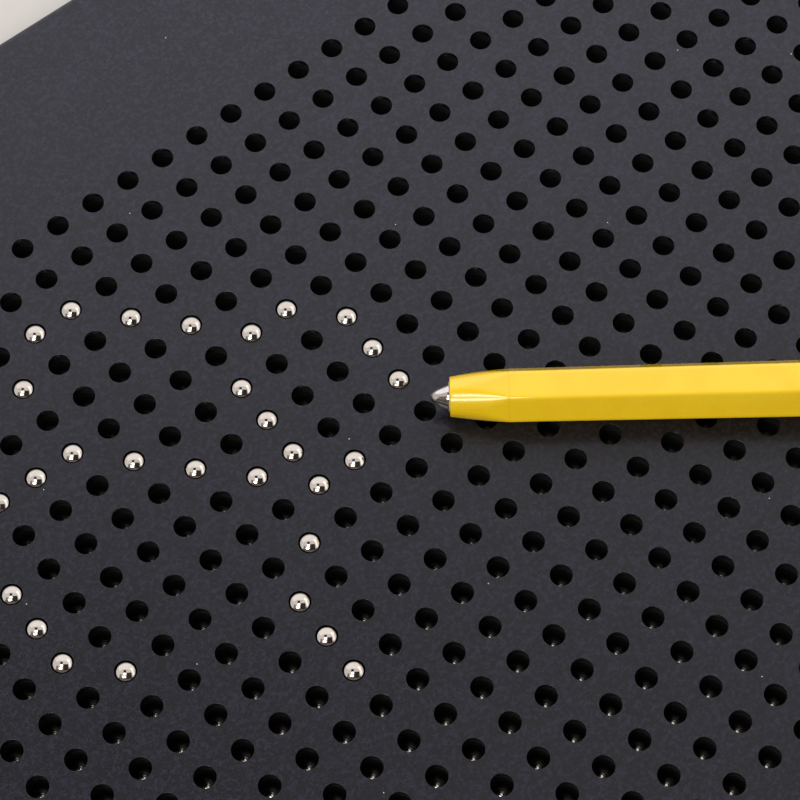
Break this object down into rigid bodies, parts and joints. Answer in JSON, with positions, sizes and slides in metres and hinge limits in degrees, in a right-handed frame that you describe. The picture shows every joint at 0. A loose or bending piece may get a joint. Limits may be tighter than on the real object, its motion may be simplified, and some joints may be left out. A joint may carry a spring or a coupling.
{
  "type": "magnetic ball drawing board",
  "caption": "Flat drawing board with a grid of captive steel balls that a magnetic stylus pulls up into view and a finger pushes back down.",
  "frame": {"origin": "centre of the base, on the plane of the rubber feet", "axes": "+X along the rows of balls, the board's long side; +Y towards the board's top edge; +Z out of the face"},
  "size_m": [0.318, 0.26, 0.0238],
  "materials": {
    "charcoal_abs": "fine moulded grain, satin matte",
    "inner_abs": "plain black moulding",
    "retaining_rubber": "matte black sheet",
    "foot_rubber": "matte",
    "polished_steel": "ground and polished",
    "zinc_plated_steel": "zinc plated",
    "nickel_magnet": "nickel plated",
    "yellow_abs": "glossy moulding",
    "collar_resin": "translucent resin"
  },
  "bodies": {
    "board": {"front_cover": "charcoal_abs", "back_cover": "charcoal_abs", "retaining_sheet": "retaining_rubber", "ball_guide": "inner_abs", "case_screw_1": "zinc_plated_steel", "case_screw_2": "zinc_plated_steel", "case_screw_3": "zinc_plated_steel", "case_screw_4": "zinc_plated_steel", "case_screw_5": "zinc_plated_steel", "case_screw_6": "zinc_plated_steel", "rubber_foot_1": "foot_rubber", "rubber_foot_2": "foot_rubber", "rubber_foot_3": "foot_rubber", "rubber_foot_4": "foot_rubber"},
    "stylus": {"stylus_nose": "yellow_abs", "stylus_tip": "polished_steel", "tip_collar": "collar_resin", "bar_magnet": "nickel_magnet", "stylus_barrel": "yellow_abs", "stylus_end_plug": "yellow_abs"},
    "ball_r03_c10": {"ball_r03_c10": "polished_steel"},
    "ball_r03_c11": {"ball_r03_c11": "polished_steel"},
    "ball_r04_c09": {"ball_r04_c09": "polished_steel"},
    "ball_r04_c12": {"ball_r04_c12": "polished_steel"},
    "ball_r05_c13": {"ball_r05_c13": "polished_steel"},
    "ball_r06_c07": {"ball_r06_c07": "polished_steel"},
    "ball_r06_c08": {"ball_r06_c08": "polished_steel"},
    "ball_r06_c09": {"ball_r06_c09": "polished_steel"},
    "ball_r06_c14": {"ball_r06_c14": "polished_steel"},
    "ball_r06_c15": {"ball_r06_c15": "polished_steel"},
    "ball_r07_c10": {"ball_r07_c10": "polished_steel"},
    "ball_r07_c13": {"ball_r07_c13": "polished_steel"},
    "ball_r07_c16": {"ball_r07_c16": "polished_steel"},
    "ball_r08_c06": {"ball_r08_c06": "polished_steel"},
    "ball_r08_c11": {"ball_r08_c11": "polished_steel"},
    "ball_r08_c13": {"ball_r08_c13": "polished_steel"},
    "ball_r08_c16": {"ball_r08_c16": "polished_steel"},
    "ball_r09_c06": {"ball_r09_c06": "polished_steel"},
    "ball_r09_c12": {"ball_r09_c12": "polished_steel"},
    "ball_r09_c13": {"ball_r09_c13": "polished_steel"},
    "ball_r09_c16": {"ball_r09_c16": "polished_steel"},
    "ball_r10_c06": {"ball_r10_c06": "polished_steel"},
    "ball_r10_c13": {"ball_r10_c13": "polished_steel"},
    "ball_r10_c14": {"ball_r10_c14": "polished_steel"},
    "ball_r11_c07": {"ball_r11_c07": "polished_steel"},
    "ball_r11_c12": {"ball_r11_c12": "polished_steel"},
    "ball_r12_c11": {"ball_r12_c11": "polished_steel"},
    "ball_r13_c11": {"ball_r13_c11": "polished_steel"},
    "ball_r14_c11": {"ball_r14_c11": "polished_steel"},
    "ball_r07_c14": {"ball_r07_c14": "polished_steel"},
    "ball_r07_c15": {"ball_r07_c15": "polished_steel"},
    "ball_r08_c14": {"ball_r08_c14": "polished_steel"},
    "ball_r08_c15": {"ball_r08_c15": "polished_steel"},
    "ball_r09_c14": {"ball_r09_c14": "polished_steel"},
    "ball_r09_c15": {"ball_r09_c15": "polished_steel"},
    "ball_r10_c15": {"ball_r10_c15": "polished_steel"},
    "ball_r11_c14": {"ball_r11_c14": "polished_steel"}
  },
  "joints": [
    {"name": "stylus_lift", "type": "slide", "parent": "board", "child": "stylus", "axis": [0, 0, 1], "range_m": [0, 0.03]},
    {"name": "ball_r03_c10_travel", "type": "slide", "parent": "board", "child": "ball_r03_c10", "axis": [0, 0, 1], "range_m": [-0.006, 0]},
    {"name": "ball_r03_c11_travel", "type": "slide", "parent": "board", "child": "ball_r03_c11", "axis": [0, 0, 1], "range_m": [-0.006, 0]},
    {"name": "ball_r04_c09_travel", "type": "slide", "parent": "board", "child": "ball_r04_c09", "axis": [0, 0, 1], "range_m": [-0.006, 0]},
    {"name": "ball_r04_c12_travel", "type": "slide", "parent": "board", "child": "ball_r04_c12", "axis": [0, 0, 1], "range_m": [-0.006, 0]},
    {"name": "ball_r05_c13_travel", "type": "slide", "parent": "board", "child": "ball_r05_c13", "axis": [0, 0, 1], "range_m": [-0.006, 0]},
    {"name": "ball_r06_c07_travel", "type": "slide", "parent": "board", "child": "ball_r06_c07", "axis": [0, 0, 1], "range_m": [-0.006, 0]},
    {"name": "ball_r06_c08_travel", "type": "slide", "parent": "board", "child": "ball_r06_c08", "axis": [0, 0, 1], "range_m": [-0.006, 0]},
    {"name": "ball_r06_c09_travel", "type": "slide", "parent": "board", "child": "ball_r06_c09", "axis": [0, 0, 1], "range_m": [-0.006, 0]},
    {"name": "ball_r06_c14_travel", "type": "slide", "parent": "board", "child": "ball_r06_c14", "axis": [0, 0, 1], "range_m": [-0.006, 0]},
    {"name": "ball_r06_c15_travel", "type": "slide", "parent": "board", "child": "ball_r06_c15", "axis": [0, 0, 1], "range_m": [-0.006, 0]},
    {"name": "ball_r07_c10_travel", "type": "slide", "parent": "board", "child": "ball_r07_c10", "axis": [0, 0, 1], "range_m": [-0.006, 0]},
    {"name": "ball_r07_c13_travel", "type": "slide", "parent": "board", "child": "ball_r07_c13", "axis": [0, 0, 1], "range_m": [-0.006, 0]},
    {"name": "ball_r07_c16_travel", "type": "slide", "parent": "board", "child": "ball_r07_c16", "axis": [0, 0, 1], "range_m": [-0.006, 0]},
    {"name": "ball_r08_c06_travel", "type": "slide", "parent": "board", "child": "ball_r08_c06", "axis": [0, 0, 1], "range_m": [-0.006, 0]},
    {"name": "ball_r08_c11_travel", "type": "slide", "parent": "board", "child": "ball_r08_c11", "axis": [0, 0, 1], "range_m": [-0.006, 0]},
    {"name": "ball_r08_c13_travel", "type": "slide", "parent": "board", "child": "ball_r08_c13", "axis": [0, 0, 1], "range_m": [-0.006, 0]},
    {"name": "ball_r08_c16_travel", "type": "slide", "parent": "board", "child": "ball_r08_c16", "axis": [0, 0, 1], "range_m": [-0.006, 0]},
    {"name": "ball_r09_c06_travel", "type": "slide", "parent": "board", "child": "ball_r09_c06", "axis": [0, 0, 1], "range_m": [-0.006, 0]},
    {"name": "ball_r09_c12_travel", "type": "slide", "parent": "board", "child": "ball_r09_c12", "axis": [0, 0, 1], "range_m": [-0.006, 0]},
    {"name": "ball_r09_c13_travel", "type": "slide", "parent": "board", "child": "ball_r09_c13", "axis": [0, 0, 1], "range_m": [-0.006, 0]},
    {"name": "ball_r09_c16_travel", "type": "slide", "parent": "board", "child": "ball_r09_c16", "axis": [0, 0, 1], "range_m": [-0.006, 0]},
    {"name": "ball_r10_c06_travel", "type": "slide", "parent": "board", "child": "ball_r10_c06", "axis": [0, 0, 1], "range_m": [-0.006, 0]},
    {"name": "ball_r10_c13_travel", "type": "slide", "parent": "board", "child": "ball_r10_c13", "axis": [0, 0, 1], "range_m": [-0.006, 0]},
    {"name": "ball_r10_c14_travel", "type": "slide", "parent": "board", "child": "ball_r10_c14", "axis": [0, 0, 1], "range_m": [-0.006, 0]},
    {"name": "ball_r11_c07_travel", "type": "slide", "parent": "board", "child": "ball_r11_c07", "axis": [0, 0, 1], "range_m": [-0.006, 0]},
    {"name": "ball_r11_c12_travel", "type": "slide", "parent": "board", "child": "ball_r11_c12", "axis": [0, 0, 1], "range_m": [-0.006, 0]},
    {"name": "ball_r12_c11_travel", "type": "slide", "parent": "board", "child": "ball_r12_c11", "axis": [0, 0, 1], "range_m": [-0.006, 0]},
    {"name": "ball_r13_c11_travel", "type": "slide", "parent": "board", "child": "ball_r13_c11", "axis": [0, 0, 1], "range_m": [-0.006, 0]},
    {"name": "ball_r14_c11_travel", "type": "slide", "parent": "board", "child": "ball_r14_c11", "axis": [0, 0, 1], "range_m": [-0.006, 0]},
    {"name": "ball_r07_c14_travel", "type": "slide", "parent": "board", "child": "ball_r07_c14", "axis": [0, 0, 1], "range_m": [0, 0.006]},
    {"name": "ball_r07_c15_travel", "type": "slide", "parent": "board", "child": "ball_r07_c15", "axis": [0, 0, 1], "range_m": [0, 0.006]},
    {"name": "ball_r08_c14_travel", "type": "slide", "parent": "board", "child": "ball_r08_c14", "axis": [0, 0, 1], "range_m": [0, 0.006]},
    {"name": "ball_r08_c15_travel", "type": "slide", "parent": "board", "child": "ball_r08_c15", "axis": [0, 0, 1], "range_m": [0, 0.006]},
    {"name": "ball_r09_c14_travel", "type": "slide", "parent": "board", "child": "ball_r09_c14", "axis": [0, 0, 1], "range_m": [0, 0.006]},
    {"name": "ball_r09_c15_travel", "type": "slide", "parent": "board", "child": "ball_r09_c15", "axis": [0, 0, 1], "range_m": [0, 0.006]},
    {"name": "ball_r10_c15_travel", "type": "slide", "parent": "board", "child": "ball_r10_c15", "axis": [0, 0, 1], "range_m": [0, 0.006]},
    {"name": "ball_r11_c14_travel", "type": "slide", "parent": "board", "child": "ball_r11_c14", "axis": [0, 0, 1], "range_m": [0, 0.006]}
  ]
}
